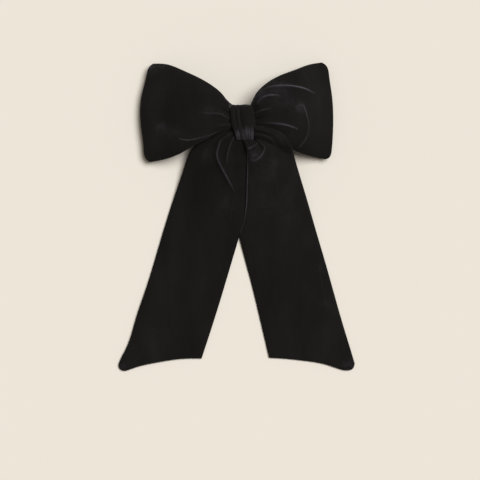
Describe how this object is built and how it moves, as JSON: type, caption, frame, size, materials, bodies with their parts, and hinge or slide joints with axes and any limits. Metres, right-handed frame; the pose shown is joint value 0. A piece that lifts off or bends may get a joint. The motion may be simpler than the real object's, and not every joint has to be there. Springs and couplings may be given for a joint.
{
  "type": "hair bow",
  "caption": "Large soft velvet hair bow with puffed loops, a wrapped knot and long flared tails, sewn on an arched spring-clip barrette that clasps the hair.",
  "frame": {"origin": "on the flat underside of the clasp arm, under the middle of the knot", "axes": "+Z towards the front of the bow, +X along the barrette to its catch end, +Y away from the tails"},
  "size_m": [0.1848, 0.2411, 0.0291],
  "materials": {
    "velvet": "black cut-pile velvet with a soft grey sheen on its folds",
    "felt": "matte black pressed felt",
    "thread": "black twisted polyester sewing thread",
    "plated_steel": "nickel-plated pressed steel, lightly brushed",
    "spring_steel": "tempered spring strip, satin"
  },
  "bodies": {
    "bow": {"base_bar": "plated_steel", "hinge_pin": "plated_steel", "strip_rivet": "plated_steel", "catch_rivet": "plated_steel", "catch_bracket": "plated_steel", "backing_pad": "felt", "bar_stitches": "thread", "center_knot": "velvet", "gathered_core": "velvet", "gather_thread": "thread", "knot_seam_stitches": "thread", "left_loop": "velvet", "right_loop": "velvet"},
    "clasp": {"clasp_arm": "plated_steel"},
    "strip": {"tension_strip": "spring_steel"},
    "upper_leaf": {"catch_leaf_upper": "spring_steel"},
    "lower_leaf": {"catch_leaf_lower": "spring_steel"},
    "left_tail_cloth": {"left_tail": "velvet"},
    "right_tail_cloth": {"right_tail": "velvet"}
  },
  "joints": [
    {"name": "clasp_hinge", "type": "hinge", "parent": "bow", "child": "clasp", "pos_m": [-0.0365, 0, 0.0015], "axis": [0, 1, 0], "range_deg": [0, 80]},
    {"name": "strip_flex", "type": "hinge", "parent": "bow", "child": "strip", "pos_m": [-0.031, 0, 0.0076], "axis": [0, -1, 0], "range_deg": [0, 1.5], "stiffness_Nm_per_rad": 0.05},
    {"name": "upper_leaf_pinch", "type": "hinge", "parent": "bow", "child": "upper_leaf", "pos_m": [0.034, 0.0016, 0.0062], "axis": [-1, 0, 0], "range_deg": [0, 8], "stiffness_Nm_per_rad": 0.002},
    {"name": "lower_leaf_pinch", "type": "hinge", "parent": "bow", "child": "lower_leaf", "pos_m": [0.034, -0.0016, 0.0062], "axis": [1, 0, 0], "range_deg": [0, 8], "stiffness_Nm_per_rad": 0.002},
    {"name": "left_tail_swing", "type": "hinge", "parent": "bow", "child": "left_tail_cloth", "pos_m": [0, -0.0172, 0.013], "axis": [-1, 0, 0], "range_deg": [0, 60]},
    {"name": "right_tail_swing", "type": "hinge", "parent": "bow", "child": "right_tail_cloth", "pos_m": [0, -0.0172, 0.013], "axis": [-1, 0, 0], "range_deg": [0, 60]}
  ]
}
